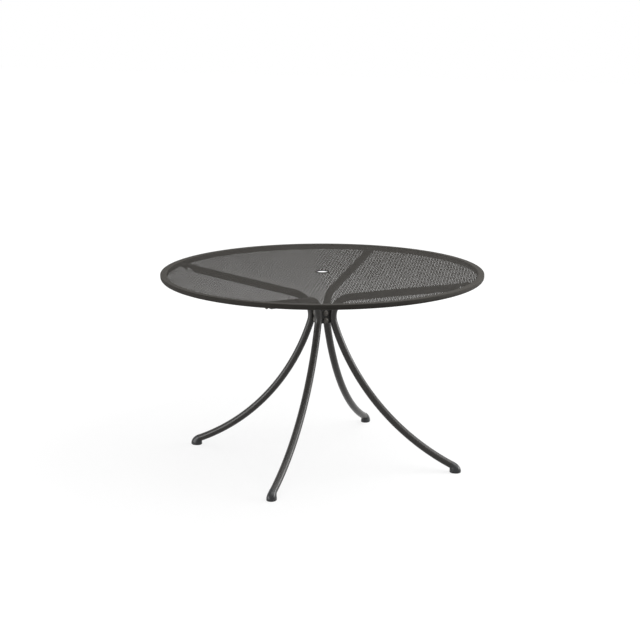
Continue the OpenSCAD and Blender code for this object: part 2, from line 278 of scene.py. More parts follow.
# The same nylon on the rings round the parasol's pole, dulled to a matt grey black by sun and
# rain
RING_NYLON = Surface("sun_dulled_black_nylon", "#222222", "#1d1d1e", "#303030", 0.3,
                     roughness=0.7, roughness_spread=0.05, drift_mm=9, grain_mm=1.2,
                     relief_mm=0.03, ior=1.53, specular=0.1)
# Phosphated and oiled steel fasteners, with a dull gleam that is only partly metallic; their
# dark grey is painted paler, as painted light on the domed bolts in the shade at the waist
BLACK_STEEL_WITH_PAINTED_LIGHT = Surface("phosphated_black_steel_with_painted_light", "#4e4b47", "#44413d", "#67635d", 0.4,
                      roughness=0.42, roughness_spread=0.06, drift_mm=6, grain_mm=1.2,
                      relief_mm=0.03, metallic=0.2, specular=0.3)


def add_object(name: str, data: Any) -> Object:
    """Makes an object and puts it in the scene.

    Args:
        name: the object's name
        data: its mesh, lamp or camera

    Returns:
        The new object
    """
    item = bpy.data.objects.new(name, data)
    bpy.context.scene.collection.objects.link(item)
    return item


def mesh_piece(name: str, points: Sequence[Point], faces: Sequence[Sequence[int]],
               sharp_deg: float = SHARP_DEG) -> Object:
    """Makes a closed piece with outward faces from points in millimetres.

    Args:
        name: the piece's name
        points: corner points
        faces: the corners of each face
        sharp_deg: edges that turn more than this stay sharp

    Returns:
        The new object, at the origin
    """
    mesh = bpy.data.meshes.new(name)
    mesh.from_pydata([(x * MM, y * MM, z * MM) for x, y, z in points], [], faces)
    shape = bmesh.new()
    shape.from_mesh(mesh)
    bmesh.ops.remove_doubles(shape, verts=shape.verts, dist=SAME_POINT * MM)
    bmesh.ops.recalc_face_normals(shape, faces=shape.faces)
    shape.to_mesh(mesh)
    shape.free()
    mesh.shade_smooth()
    mesh.set_sharp_from_angle(angle=math.radians(sharp_deg))
    return add_object(name, mesh)


def loft(rings: Sequence[Ring], closed: bool = False) -> Skin:
    """Joins rings of equal count into a skin.

    Args:
        rings: the rings in order, each with the same number of points
        closed: whether the last ring joins the first one; otherwise both ends are capped

    Returns:
        The points and the faces
    """
    count = len(rings[0])
    points = [p for ring in rings for p in ring]
    faces: list[list[int]] = []
    for i in range(len(rings) if closed else len(rings) - 1):
        low, high = i * count, (i + 1) % len(rings) * count
        for j in range(count):
            k = (j + 1) % count
            faces.append([low + j, low + k, high + k, high + j])
    if not closed:
        faces.append(list(range(count)))
        faces.append(list(range(len(points) - count, len(points))))
    return points, faces


def spread(start: float, end: float, steps: int) -> list[float]:
    """Returns the numbers from start to end at even steps, with both of them."""
    return [start + (end - start) * i / steps for i in range(steps + 1)]


def round_turns(steps: int) -> list[float]:
    """Returns even turns once round, in radians."""
    return [2 * math.pi * i / steps for i in range(steps)]


def circle(radius: float, z: float, steps: int) -> Ring:
    """Returns a level circle about the table's axis."""
    return [(radius * math.cos(turn), radius * math.sin(turn), z) for turn in round_turns(steps)]


def lathe(profile: Sequence[Flat], steps: int, closed: bool) -> Skin:
    """Turns a profile round the table's axis.

    Args:
        profile: (radius, height) points; an open one's ends are closed by flat faces
        steps: faces round the turn
        closed: whether the profile's last point joins its first one, as round a bore

    Returns:
        The points and the faces
    """
    return loft([circle(radius, z, steps) for radius, z in profile], closed)


def flat_ring(inner: float, outer: float, low: float, high: float, bevel: float) -> list[Flat]:
    """Outlines a washer or another flat ring, from its hole round and back to it.

    Args:
        inner: radius of its hole
        outer: its own radius
        low: height of one face
        high: height of the other one
        bevel: bevel of its two outer edges

    Returns:
        The outline as (radius, height) points
    """
    return [(inner, low), (outer - bevel, low), (outer, low + bevel), (outer, high - bevel),
            (outer - bevel, high), (inner, high)]


def corner(centre: Flat, radius: float, start: float, end: float,
           steps: int = CORNER_STEPS) -> list[Flat]:
    """Lists the points of a rounded corner.

    Args:
        centre: the arc's centre
        radius: its radius
        start: angle of its first point, in degrees
        end: angle of its last point
        steps: stretches along the arc

    Returns:
        The arc's points
    """
    return [(centre[0] + radius * math.cos(turn), centre[1] + radius * math.sin(turn))
            for turn in map(math.radians, spread(start, end, steps))]


def turned(points: Sequence[Point], degrees: float) -> list[Point]:
    """Turns points about the table's axis by an angle in degrees."""
    c, s = math.cos(math.radians(degrees)), math.sin(math.radians(degrees))
    return [(c * x - s * y, s * x + c * y, z) for x, y, z in points]


def box_mm(node: str) -> tuple[Vector, Vector]:
    """Returns a CAD node's lowest and highest corners in millimetres."""
    low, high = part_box(node)
    return low / MM, high / MM


def dress(piece: Object, material: Material, slot: Slot, *nodes: str) -> None:
    """Gives a piece its finish and says which CAD nodes it stands for.

    Args:
        piece: the finished piece
        material: its finish
        slot: the record's slot of that finish; not used
        nodes: the CAD nodes that it replaces
    """
    piece.data.materials.clear()
    piece.data.materials.append(material)
    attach(piece, BODY)
    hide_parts(*nodes)
    log.info("%s: %d faces, replaces %s", piece.name, len(piece.data.polygons),
             ", ".join(nodes))


def coat_node(name: str, material: Material) -> None:
    """Gives a CAD node that stays in view its finish.

    Args:
        name: the CAD node
        material: the finish
    """
    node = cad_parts[name]
    if not node.material_slots:
        node.data.materials.append(material)
    for held in node.material_slots:
        held.material = material
    log.info("%s: CAD node with %s", name, material.name)


def group_tree(name: str, inputs: dict[str, str]) -> tuple[NodeTree, Any]:
    """Starts a Geometry Nodes tree with named inputs.

    Args:
        name: the tree's name
        inputs: the type of each named input

    Returns:
        The tree and the outputs of its Group Input node
    """
    tree = bpy.data.node_groups.new(name, "GeometryNodeTree")
    for label, kind in {"Geometry": "Geometry", **inputs}.items():
        tree.interface.new_socket(label, in_out="INPUT", socket_type=f"NodeSocket{kind}")
    tree.interface.new_socket("Geometry", in_out="OUTPUT", socket_type="NodeSocketGeometry")
    return tree, add_node(tree, "NodeGroupInput").outputs


def end_tree(tree: NodeTree, shape: Node, finish: NodeSocket) -> NodeTree:
    """Ends a Geometry Nodes tree in real geometry with its finish.

    Args:
        tree: the tree
        shape: the node that gives the grown geometry
        finish: the tree's material input

    Returns:
        The same tree
    """
    real = add_node(tree, "GeometryNodeRealizeInstances", {0: shape})
    done = add_node(tree, "GeometryNodeSetMaterial", {"Geometry": real, "Material": finish})
    add_node(tree, "NodeGroupOutput", {0: done})
    return tree


def grow(piece: Object, tree: NodeTree, values: dict[str, Any]) -> Object:
    """Runs a Geometry Nodes tree on a piece and keeps its result as a plain mesh.

    Args:
        piece: the object that the tree starts from
        tree: the tree
        values: a value for each named input

    Returns:
        The same object with the grown mesh and no modifier
    """
    modifier = piece.modifiers.new(tree.name, "NODES")
    modifier.node_group = tree
    for item in tree.interface.items_tree:
        if item.in_out == "INPUT" and item.name in values:
            modifier[item.identifier] = values[item.name]
    evaluated = piece.evaluated_get(bpy.context.evaluated_depsgraph_get())
    mesh = bpy.data.meshes.new_from_object(evaluated)
    piece.modifiers.remove(modifier)
    piece.data = mesh
    mesh.shade_smooth()
    mesh.set_sharp_from_angle(angle=math.radians(SHARP_DEG))
    return piece


def empty_piece(name: str) -> Object:
    """Makes an object with an empty mesh, for a tree that makes all of its geometry."""
    return mesh_piece(name, [], [])


def copies_tree() -> NodeTree:
    """Builds the tree that repeats a fastener at even turns round the table's axis.

    Returns:
        The tree
    """
    tree, given = group_tree("copies_round_the_axis", {
        "Copies": "Int", "First Turn": "Float", "Finish": "Material"})
    index = add_node(tree, "GeometryNodeInputIndex")
    step = add_node(tree, "ShaderNodeMath", {
        "operation": "DIVIDE", 0: 2 * math.pi, 1: given["Copies"]})
    turn = add_node(tree, "ShaderNodeMath", {
        "operation": "MULTIPLY_ADD", 0: index, 1: step, 2: given["First Turn"]})
    turn = add_node(tree, "ShaderNodeCombineXYZ", {"Z": turn})
    spots = add_node(tree, "GeometryNodePoints", {"Count": given["Copies"]})
    copies = add_node(tree, "GeometryNodeInstanceOnPoints", {
        "Points": spots, "Instance": given["Geometry"], "Rotation": turn})
    return end_tree(tree, copies, given["Finish"])


def rim_tree() -> NodeTree:
    """Builds the tree that rolls the rim: a section with rounded corners, swept in a circle.

    Returns:
        The tree
    """
    tree, given = group_tree("rolled_rim", {
        "Middle Radius": "Float", "Middle Height": "Float", "Width": "Float",
        "Height": "Float", "Edge Radius": "Float", "Roll Radius": "Float",
        "Steps Round": "Int", "Steps Per Corner": "Int", "Finish": "Material"})
    section = add_node(tree, "GeometryNodeCurvePrimitiveQuadrilateral", {
        "mode": "RECTANGLE", "Width": given["Width"], "Height": given["Height"]})

    # The section's first corner is the outer lower one, which is rolled wider than the others
    index = add_node(tree, "GeometryNodeInputIndex")
    first = add_node(tree, "ShaderNodeMath", {"operation": "LESS_THAN", 0: index, 1: 0.5})
    wider = add_node(tree, "ShaderNodeMath", {
        "operation": "SUBTRACT", 0: given["Roll Radius"], 1: given["Edge Radius"]})
    radius = add_node(tree, "ShaderNodeMath", {
        "operation": "MULTIPLY_ADD", 0: first, 1: wider, 2: given["Edge Radius"]})
    section = add_node(tree, "GeometryNodeFilletCurve", {
        "mode": "POLY", "Limit Radius": True, "Curve": section, "Radius": radius,
        "Count": given["Steps Per Corner"]})

    # The circle that it is swept along
    path = add_node(tree, "GeometryNodeCurvePrimitiveCircle", {
        "mode": "RADIUS", "Resolution": given["Steps Round"], "Radius": given["Middle Radius"]})
    path = add_node(tree, "GeometryNodeSetCurveNormal", {"mode": "Z_UP", "Curve": path})
    swept = add_node(tree, "GeometryNodeCurveToMesh", {"Curve": path, "Profile Curve": section})
    rise = add_node(tree, "ShaderNodeCombineXYZ", {"Z": given["Middle Height"]})
    placed = add_node(tree, "GeometryNodeTransform", {"Geometry": swept, "Translation": rise})
    return end_tree(tree, placed, given["Finish"])


def strands_tree() -> NodeTree:
    """Builds the tree of the expanded sheet: rows of zigzag strands that touch at their peaks.

    Points beyond the sheet's edge or inside its hole go, and those just past either are drawn
    back onto it, so every strand ends on the rim or under the hole's ring.

    Returns:
        The tree
    """
    tree, given = group_tree("expanded_sheet", {
        "First Row": "Int", "Rows": "Int", "Columns": "Int", "Half Long Pitch": "Float",
        "Half Short Pitch": "Float", "Peak Pull": "Float", "Row Lift": "Float",
        "Strand Width": "Float", "Strand Thickness": "Float", "Sheet Radius": "Float",
        "Hole Radius": "Float", "Turn": "Float", "Middle Height": "Float",
        "Finish": "Material"})
    index = add_node(tree, "GeometryNodeInputIndex")

    # One zigzag row, centred on the sheet
    step = add_node(tree, "ShaderNodeCombineXYZ", {"X": given["Half Long Pitch"]})
    reach = add_node(tree, "ShaderNodeMath", {
        "operation": "MULTIPLY", 0: given["Columns"], 1: -0.5})
    start = add_node(tree, "ShaderNodeMath", {
        "operation": "MULTIPLY", 0: reach, 1: given["Half Long Pitch"]})
    start = add_node(tree, "ShaderNodeCombineXYZ", {"X": start})
    points = add_node(tree, "ShaderNodeMath", {
        "operation": "ADD", 0: given["Columns"], 1: 1.0})
    row = add_node(tree, "GeometryNodeMeshLine", {
        "mode": "OFFSET", "Count": points, "Start Location": start, "Offset": step})
    odd = add_node(tree, "ShaderNodeMath", {"operation": "PINGPONG", 0: index, 1: 1.0})
    swing = add_node(tree, "ShaderNodeMath", {
        "operation": "MULTIPLY_ADD", 0: given["Peak Pull"], 1: -2.0,
        2: given["Half Short Pitch"]})
    peak = add_node(tree, "ShaderNodeMath", {
        "operation": "MULTIPLY_ADD", 0: odd, 1: swing, 2: given["Peak Pull"]})
    peak = add_node(tree, "ShaderNodeCombineXYZ", {"Y": peak})
    row = add_node(tree, "GeometryNodeSetPosition", {"Geometry": row, "Offset": peak})

    # The rows, every other one moved on by half a diamond and lifted a little
    number = add_node(tree, "ShaderNodeMath", {
        "operation": "ADD", 0: index, 1: given["First Row"]})
    odd_row = add_node(tree, "ShaderNodeMath", {"operation": "PINGPONG", 0: number, 1: 1.0})
    spot = add_node(tree, "ShaderNodeCombineXYZ", {
        axis: add_node(tree, "ShaderNodeMath", {
            "operation": "MULTIPLY", 0: count, 1: given[size]})
        for axis, count, size in (("X", odd_row, "Half Long Pitch"),
                                  ("Y", number, "Half Short Pitch"),
                                  ("Z", odd_row, "Row Lift"))})
    spots = add_node(tree, "GeometryNodePoints", {"Count": given["Rows"], "Position": spot})
    rows = add_node(tree, "GeometryNodeInstanceOnPoints", {"Points": spots, "Instance": row})
    rows = add_node(tree, "GeometryNodeRealizeInstances", {0: rows})
    turn = add_node(tree, "ShaderNodeCombineXYZ", {"Z": given["Turn"]})
    rows = add_node(tree, "GeometryNodeTransform", {"Geometry": rows, "Rotation": turn})

    # The round edge and the hole
    place = add_node(tree, "GeometryNodeInputPosition")
    pitches = add_node(tree, "ShaderNodeCombineXYZ", {
        "X": given["Half Long Pitch"], "Y": given["Half Short Pitch"]})
    radius, strand = (
        add_node(tree, "ShaderNodeVectorMath", {"operation": "LENGTH", 0: way}).outputs["Value"]
        for way in (place, pitches))
    far = add_node(tree, "ShaderNodeMath", {
        "operation": "ADD", 0: given["Sheet Radius"], 1: strand})
    near = add_node(tree, "ShaderNodeMath", {
        "operation": "SUBTRACT", 0: given["Hole Radius"], 1: strand})
    beyond = add_node(tree, "ShaderNodeMath", {"operation": "GREATER_THAN", 0: radius, 1: far})
    inside = add_node(tree, "ShaderNodeMath", {"operation": "LESS_THAN", 0: radius, 1: near})
    gone = add_node(tree, "ShaderNodeMath", {"operation": "ADD", 0: beyond, 1: inside})
    rows = add_node(tree, "GeometryNodeDeleteGeometry", {
        "domain": "POINT", "Geometry": rows, "Selection": gone})
    held = add_node(tree, "ShaderNodeClamp", {
        0: radius, 1: given["Hole Radius"], 2: given["Sheet Radius"]})
    share = add_node(tree, "ShaderNodeMath", {"operation": "DIVIDE", 0: held, 1: radius})
    drawn = add_node(tree, "ShaderNodeVectorMath", {
        "operation": "SCALE", 0: place, "Scale": share})
    rows = add_node(tree, "GeometryNodeSetPosition", {"Geometry": rows, "Position": drawn})

    # Flat steel strands along the lines
    lines = add_node(tree, "GeometryNodeMeshToCurve", {0: rows})
    lines = add_node(tree, "GeometryNodeSetCurveNormal", {"mode": "Z_UP", "Curve": lines})
    section = add_node(tree, "GeometryNodeCurvePrimitiveQuadrilateral", {
        "mode": "RECTANGLE", "Width": given["Strand Width"],
        "Height": given["Strand Thickness"]})
    strands = add_node(tree, "GeometryNodeCurveToMesh", {
        "Curve": lines, "Profile Curve": section, "Fill Caps": True})
    rise = add_node(tree, "ShaderNodeCombineXYZ", {"Z": given["Middle Height"]})
    placed = add_node(tree, "GeometryNodeTransform", {
        "Geometry": strands, "Translation": rise})
    return end_tree(tree, placed, given["Finish"])


@dataclass
class TableTop:
    """The rim, the mesh sheet in it and the two rings of the parasol hole.

    Attributes:
        coat: finish of the rim
        mesh_coat: finish of the mesh
        nylon: finish of the hole's two rings
        rim_w: width of the rim
        rim_edge_r: radius of its upper and inner edges
        rim_roll_r: radius of its outer lower edge
        rim_steps: stretches round the rim
        rim_corner_steps: stretches round each corner of its section
        long_pitch: length of a diamond of the expanded steel
        short_pitch: width of a diamond
        strand_w: width of a strand
        strand_t: thickness of a strand
        row_lift: how much higher every other row of strands lies
        mesh_turn: the sheet's turn about the table's axis, in degrees
        mesh_parts: how many pieces the sheet is made in
        hole_gap: room between the sheet's hole and the ring's neck
        neck_r: radius of the hole ring's neck
        ring_edge_r: radius of the hole ring's edges
        ring_steps: faces round the hole ring
        lock_band: width of the lock ring
        lock_edge: its small bevel
        lock_steps: stretches round it
        scallops: how many scallops its outer edge has
        scallop_depth: how deep they are
    """

    coat: Material
    mesh_coat: Material
    nylon: Material
    rim_w: float = 24.0
    rim_edge_r: float = 2.5
    rim_roll_r: float = 11.0
    rim_steps: int = 288
    rim_corner_steps: int = 8
    long_pitch: float = 11.8
    short_pitch: float = 7.6
    strand_w: float = 1.9
    strand_t: float = 0.57
    row_lift: float = 0.06
    mesh_turn: float = 12.5
    mesh_parts: int = 4
    hole_gap: float = 1.0
    neck_r: float = 23.0
    ring_edge_r: float = 0.5
    ring_steps: int = 96
    lock_band: float = 5.0
    lock_edge: float = 0.2
    lock_steps: int = 192
    scallops: int = 24
    scallop_depth: float = 0.5

    def rim(self) -> None:
        """Rolls the rim to the CAD node's box."""
        low, high = box_mm("top_rim")
        piece = grow(empty_piece("rolled_rim"), rim_tree(), {
            "Middle Radius": (-low.x - self.rim_w / 2) * MM,
            "Middle Height": (low.z + high.z) / 2 * MM, "Width": self.rim_w * MM,
            "Height": (high.z - low.z) * MM, "Edge Radius": self.rim_edge_r * MM,
            "Roll Radius": self.rim_roll_r * MM, "Steps Round": self.rim_steps,
            "Steps Per Corner": self.rim_corner_steps, "Finish": self.coat})
        dress(piece, self.coat, Slot.FRAME, "top_rim")

    def mesh(self) -> None:
        """Expands the sheet in a few pieces, each a band of rows."""
        low, high = box_mm("mesh_sheet")
        half_long, half_short = self.long_pitch / 2, self.short_pitch / 2
        rows = 2 * math.ceil(high.x / half_short) + 2
        columns = 4 * math.ceil((high.x + self.long_pitch) / self.long_pitch)
        tree = strands_tree()
        # Each peak is drawn back by a quarter of a strand, so that touching strands lap by half
        peak_pull = self.strand_w / 4
        for part in range(self.mesh_parts):
            first = -rows // 2 + rows * part // self.mesh_parts
            last = -rows // 2 + rows * (part + 1) // self.mesh_parts
            piece = grow(empty_piece(f"mesh_band_{part + 1}"), tree, {
                "First Row": first, "Rows": last - first, "Columns": columns,
                "Half Long Pitch": half_long * MM, "Half Short Pitch": half_short * MM,
                "Peak Pull": peak_pull * MM, "Row Lift": self.row_lift * MM,
                "Strand Width": self.strand_w * MM, "Strand Thickness": self.strand_t * MM,
                "Sheet Radius": high.x * MM, "Hole Radius": (self.neck_r + self.hole_gap) * MM,
                "Turn": math.radians(self.mesh_turn),
                "Middle Height": (low.z + high.z) / 2 * MM, "Finish": self.mesh_coat})
            dress(piece, self.mesh_coat, Slot.MESH, "mesh_sheet")

    def hole_ring(self) -> None:
        """Turns the flanged ring that lines the parasol hole."""
        low, high = box_mm("hole_ring")
        flange_low = box_mm("mesh_sheet")[1].z
        edge, flange_r = self.ring_edge_r, high.x
        # The flange lies on the mesh, so its lower edge is only half rounded
        profile = [(BORE_R, low.z), (self.neck_r - edge, low.z),
                   *corner((self.neck_r - edge, low.z + edge), edge, -90, 0),
                   (self.neck_r, flange_low), (flange_r - edge / 2, flange_low),
                   *corner((flange_r - edge, flange_low + edge), edge, -60, 0),
                   *corner((flange_r - edge, high.z - edge), edge, 0, 90),
                   *corner((BORE_R + edge, high.z - edge), edge, 90, 180)]
        piece = mesh_piece("parasol_hole_ring", *lathe(profile, self.ring_steps, closed=True))
        dress(piece, self.nylon, Slot.PLASTIC, "hole_ring")

    def lock_ring(self) -> None:
        """Stamps the thin ring that grips the neck under the mesh, with its scalloped edge."""
        low, high = box_mm("hole_lock_ring")
        inner = high.x - self.lock_band
        rings: list[Ring] = []
        for radius, z in flat_ring(inner, high.x, low.z, high.z, self.lock_edge):
            depth = 0.0 if radius == inner else self.scallop_depth
            rings.append([])
            for turn in round_turns(self.lock_steps):
                r = radius - depth * (0.5 - 0.5 * math.cos(self.scallops * turn))
                rings[-1].append((r * math.cos(turn), r * math.sin(turn), z))
        piece = mesh_piece("parasol_lock_ring", *loft(rings, closed=True))
        dress(piece, self.nylon, Slot.PLASTIC, "hole_lock_ring")

    def build(self) -> None:
        """Builds the whole top."""
        self.rim()
        self.mesh()
        self.hole_ring()
        self.lock_ring()


@dataclass(frozen=True)
class Station:
    """One section of a tube, in the upright plane of its leg.

    Attributes:
        r: distance of its middle from the table's axis
        z: height of its middle
        up: angle of the section's upper side in that plane, in degrees
        half_w: half its width across the leg
        half_t: half its thickness
        square: 2 for round or oval, more for a flat section with rounded sides
    """

    r: float
    z: float
    up: float
    half_w: float
    half_t: float
    square: float = 2.0

    def ring(self, count: int) -> Ring:
        """Outlines the section.

        Args:
            count: how many points the outline has

        Returns:
            The outline
        """
        n_r, n_z = math.cos(math.radians(self.up)), math.sin(math.radians(self.up))
        points: Ring = []
        for c, s, _ in circle(1.0, 0.0, count):
            up = math.copysign(abs(c) ** (2 / self.square), c) * self.half_t
            side = math.copysign(abs(s) ** (2 / self.square), s) * self.half_w
            points.append((self.r + n_r * up, side, self.z + n_z * up))
        return points


@dataclass
class Leg:
    """A bent tube with its flattened upper end and its moulded foot cap.

    The leg's plane has r, the distance from the table's axis, and z, the height.

    Attributes:
        side: where the leg points
        coat: finish of the tube
        nylon: finish of the cap
        tube_r: radius of the tube
        waist_r: distance of the tube's middle line from the axis at the waist
        waist_z: height of the waist
        bend_r: radius of the bend at the waist
        sweep_r: radius of the sweep down to the foot
        foot_end: where the middle line ends in the cap
        arm_end: where the arm stops being round
        tab_in_r: where the flat tab begins
        tab_z: the tab's lower and upper face
        tab_half_w: half the tab's width
        tab_corner_r: radius of its corners
        tab_square: how square the tab's section is
        saw_edge: radius of the deburred edge at the tube's lower end
        saw_turn: the part of the sweep that this edge takes up, in degrees
        sweep_steps: stretches along the sweep
        bend_steps: stretches along the bend
        arm_steps: stretches along the straight arm
        press_steps: stretches from round to flat
        tube_points: points round a section
        cap_seat: how far down the tube's line the cap's first section is
        cap_neck: radius of that section, and of the cap round the tube's end
        cap_reach: distance from the axis of the cap's inner and outer side at the floor
        cap_w: greatest width of the cap
        cap_edge_r: radius of its lower edge on the inner and the outer side
        cap_side_edge: radius of that edge at the cap's two flanks
        cap_pull: how long its back keeps to the tube's line, and how long it runs upright
        cap_steps: stretches along its back
        cap_square: how square its sections are
        bend_c: centre of the bend
        sweep_c: centre of the sweep
        bend_to: angle on the bend where the sweep takes over, in degrees
        sweep_to: angle on the sweep where the tube ends
        arm_rise: how steeply the arm rises
    """

    side: Side
    coat: Material
    nylon: Material
    tube_r: float = 14.0
    waist_r: float = 43.5
    waist_z: float = 566.0
    bend_r: float = 80.0
    sweep_r: float = 850.0
    foot_end: Flat = (517.0, 28.5)
    arm_end: Flat = (520.0, 710.0)
    tab_in_r: float = 546.0
    tab_z: Flat = (719.0, 724.0)
    tab_half_w: float = 21.0
    tab_corner_r: float = 8.5
    tab_square: float = 5.0
    saw_edge: float = 0.6
    saw_turn: float = 0.05
    sweep_steps: int = 64
    bend_steps: int = 44
    arm_steps: int = 4
    press_steps: int = 14
    tube_points: int = 48
    cap_seat: float = 0.15
    cap_neck: Flat = (13.8, 14.3)
    cap_reach: Flat = (510.7, 554.4)
    cap_w: float = 37.0
    cap_edge_r: Flat = (3.3, 4.5)
    cap_side_edge: float = 2.3
    cap_pull: Flat = (18.0, 19.0)
    cap_steps: int = 12
    cap_square: float = 2.15
    bend_c: Flat = field(init=False)
    sweep_c: Flat = field(init=False)
    bend_to: float = field(init=False)
    sweep_to: float = field(init=False)
    arm_rise: float = field(init=False)

    def __post_init__(self) -> None:
        """Works out the two arcs and the arm's rise, as the part's source does."""
        self.bend_c = (self.waist_r + self.bend_r, self.waist_z)
        step = self.sweep_r - self.bend_r
        foot = Vector(self.foot_end) - Vector(self.bend_c)
        along = (foot.length_squared + step ** 2 - self.sweep_r ** 2) / (2 * step)
        turn = math.atan2(foot.y, foot.x) + math.acos(along / foot.length)
        self.sweep_c = (self.bend_c[0] + step * math.cos(turn),
                        self.bend_c[1] + step * math.sin(turn))
        self.bend_to = 180 + math.degrees(turn)
        end = Vector(self.foot_end) - Vector(self.sweep_c)
        self.sweep_to = 360 + math.degrees(math.atan2(end.y, end.x))
        arm = Vector(self.arm_end) - Vector(self.bend_c)
        self.arm_rise = math.degrees(math.atan2(arm.y, arm.x)
                                     - math.asin(self.bend_r / arm.length))

    @property
    def name(self) -> str:
        """The side's name as the CAD nodes have it."""
        return self.side.name.lower()

    def arc_station(self, centre: Flat, radius: float, degrees: float, tube_r: float) -> Station:
        """Makes the round section at an angle on an arc.

        Args:
            centre: the arc's centre in the leg's plane
            radius: its radius
            degrees: the angle
            tube_r: the section's radius

        Returns:
            The section
        """
        turn = math.radians(degrees)
        return Station(centre[0] + radius * math.cos(turn), centre[1] + radius * math.sin(turn),
                       degrees, tube_r, tube_r)

    def arc(self, centre: Flat, radius: float, turns: Sequence[float]) -> list[Station]:
        """Lists the tube's round sections at angles, in degrees, on an arc."""
        return [self.arc_station(centre, radius, degrees, self.tube_r) for degrees in turns]

    def lower_end(self) -> list[Station]:
        """Lists the sections of the tube's lower end, with the edge that deburring left.

        Returns:
            The sections, from the end up
        """
        stations = []
        for rise in (0.0, 30.0, 60.0):
            drawn_in = self.saw_edge * (1 - math.sin(math.radians(rise)))
            back = self.saw_edge * (1 - math.cos(math.radians(rise)))
            turn = self.sweep_to - math.degrees(back / self.sweep_r)
            stations.append(self.arc_station(self.sweep_c, self.sweep_r, turn,
                                             self.tube_r - drawn_in))
        return stations

    def pressed_end(self) -> list[Station]:
        """Lists the sections where the arm is pressed from round to flat, and the flat tab.

        Returns:
            The sections, outwards
        """
        up = 90 + self.arm_rise
        rise = math.tan(math.radians(self.arm_rise))
        reach = self.tab_in_r - self.arm_end[0]
        half_t = (self.tab_z[1] - self.tab_z[0]) / 2
        tab_mid = (self.tab_z[0] + self.tab_z[1]) / 2
        stations = []
        for t in spread(0, 1, self.press_steps)[1:]:
            ease = t * t * (3 - 2 * t)
            middle = self.arm_end[1] + rise * reach * t
            top = (1 - ease) * (middle + self.tube_r) + ease * self.tab_z[1]
            bottom = (1 - ease) * (middle - self.tube_r) + ease * self.tab_z[0]
            stations.append(Station(self.arm_end[0] + reach * t, (top + bottom) / 2,
                                    up + (90 - up) * t,
                                    self.tube_r + ease * (self.tab_half_w - self.tube_r),
                                    (top - bottom) / 2, 2 + (self.tab_square - 2) * ease))
        outer = max(abs(v) for point in box_mm(f"{self.name}_leg") for v in point.xy)
        corner_from = outer - self.tab_corner_r
        # The last sections lie closer, where the corner's outline turns away fastest
        for turn in (0, 20, 40, 55, 68, 80, 88):
            a = math.radians(turn)
            stations.append(Station(corner_from + self.tab_corner_r * math.sin(a), tab_mid, 90,
                                    self.tab_half_w - self.tab_corner_r * (1 - math.cos(a)),
                                    half_t, self.tab_square))
        return stations

    def tube(self) -> None:
        """Bends the tube: foot end, sweep, waist bend, arm and pressed end."""
        stations = self.lower_end()
        stations += self.arc(self.sweep_c, self.sweep_r, spread(
            self.sweep_to - self.saw_turn, self.bend_to, self.sweep_steps))
        stations += self.arc(self.bend_c, self.bend_r, spread(
            self.bend_to, 90 + self.arm_rise, self.bend_steps)[1:])
        start = stations[-1]
        arm = zip(spread(start.r, self.arm_end[0], self.arm_steps),
                  spread(start.z, self.arm_end[1], self.arm_steps))
        stations += [Station(r, z, start.up, self.tube_r, self.tube_r) for r, z in arm][1:]
        stations += self.pressed_end()
        points, faces = loft([s.ring(self.tube_points) for s in stations])
        piece = mesh_piece(f"{self.name}_leg_tube", turned(points, self.side.value), faces)
        dress(piece, self.coat, Slot.FRAME, f"{self.name}_leg")

    def cap_section(self, inner: Sequence[float], outer: Sequence[float], width: float) -> Ring:
        """Outlines one oval of the foot cap.

        Args:
            inner: its end nearest the table's axis, as (r, z)
            outer: its other end
            width: its width across the leg

        Returns:
            The outline
        """
        span = Vector(outer) - Vector(inner)
        middle = (Vector(inner) + Vector(outer)) / 2
        return Station(middle.x, middle.y, math.degrees(math.atan2(span.y, span.x)), width / 2,
                       span.length / 2, self.cap_square).ring(self.tube_points)

    def cap(self) -> None:
        """Lofts the foot cap: a fan of ovals from the tube's end round and down to the floor.

        Its back is one curve from the tube's line to upright, and its foot has a rounded edge.
        """
        up_deg = self.sweep_to - 180
        turn = math.radians(up_deg)
        end, up = Vector(self.foot_end), Vector((math.cos(turn), math.sin(turn)))
        along = Vector((up.y, -up.x))
        first_r, neck_r = self.cap_neck
        seat = end + self.cap_seat * along
        rings = [Station(seat.x, seat.y, up_deg, first_r, first_r).ring(self.tube_points)]

        top, heel = end + neck_r * up, end - neck_r * up
        heel_foot, toe_foot = (Vector(spot) for spot in zip(self.cap_reach, self.cap_edge_r))
        back = interpolate_bezier(top, top + self.cap_pull[0] * along,
                                  toe_foot + Vector((0, self.cap_pull[1])), toe_foot,
                                  self.cap_steps + 1)
        for share, outer in zip(spread(0, 1, self.cap_steps), back):
            swell = (1 - math.cos(math.pi * share)) / 2
            rings.append(self.cap_section(heel.lerp(heel_foot, share), outer.xy,
                                          2 * neck_r + swell * (self.cap_w - 2 * neck_r)))

        heel_edge, toe_edge = self.cap_edge_r
        for rounded in map(math.radians, spread(0, 90, CORNER_STEPS)[1:]):
            drawn_in, low = 1 - math.cos(rounded), 1 - math.sin(rounded)
            rings.append(self.cap_section((heel_foot.x + heel_edge * drawn_in, heel_edge * low),
                                          (toe_foot.x - toe_edge * drawn_in, toe_edge * low),
                                          self.cap_w - 2 * self.cap_side_edge * drawn_in))
        points, faces = loft(rings)
        piece = mesh_piece(f"{self.name}_foot_cap_moulding", turned(points, self.side.value),
                           faces, sharp_deg=50)
        dress(piece, self.nylon, Slot.PLASTIC, f"{self.name}_foot_cap")

    def build(self) -> None:
        """Builds the tube and its cap, and coats the lug above it."""
        self.tube()
        self.cap()
        coat_node(f"{self.name}_rim_lug", self.coat)


